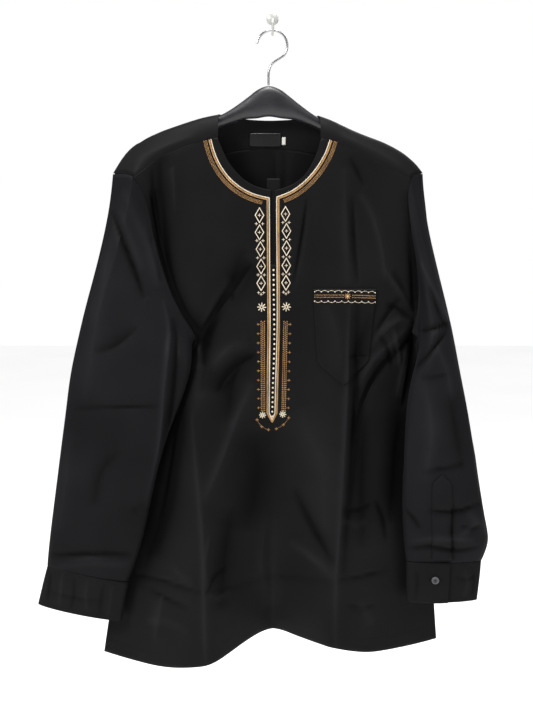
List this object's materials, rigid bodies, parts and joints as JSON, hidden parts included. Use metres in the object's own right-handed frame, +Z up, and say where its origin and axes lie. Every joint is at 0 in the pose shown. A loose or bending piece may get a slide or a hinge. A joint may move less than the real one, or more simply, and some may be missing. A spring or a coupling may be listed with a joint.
{
  "type": "long-sleeve shirt on a hanger",
  "caption": "Loose collarless long-sleeve shirt with a neck slit and a chest pocket, hanging on a plastic hanger from a small wall hook.",
  "frame": {"origin": "middle of the wall plate's back face, on the wall", "axes": "+Y into the wall, +Z up along the shirt's length, the shirt's front faces -Y"},
  "size_m": [0.6603, 0.1137, 0.947],
  "materials": {
    "black_cloth": "black twill with a soft grey sheen, embroidered in gold and cream at the neck, slit and pocket",
    "hanger_plastic": "smooth dark grey moulded plastic",
    "hook_wire": "plated bent wire",
    "hook_plastic": "pale glossy plastic",
    "button_plastic": "dark grey polished button",
    "label_cloth": "bare black woven label",
    "tab_cloth": "bare off-white woven tab"
  },
  "bodies": {
    "root": {"front": "black_cloth", "back": "black_cloth", "yoke": "black_cloth", "sleeve_left": "black_cloth", "sleeve_right": "black_cloth", "cuff_left": "black_cloth", "cuff_right": "black_cloth", "sleeve_placket_left": "black_cloth", "sleeve_placket_right": "black_cloth", "pocket": "black_cloth", "placket_under": "black_cloth", "cuff_button_left": "button_plastic", "cuff_button_right": "button_plastic", "neck_label": "label_cloth", "size_tab": "tab_cloth", "hanger": "hanger_plastic", "hanger_hook": "hook_wire", "wall_plate": "hook_plastic", "wall_peg": "hook_plastic"}
  },
  "joints": []
}
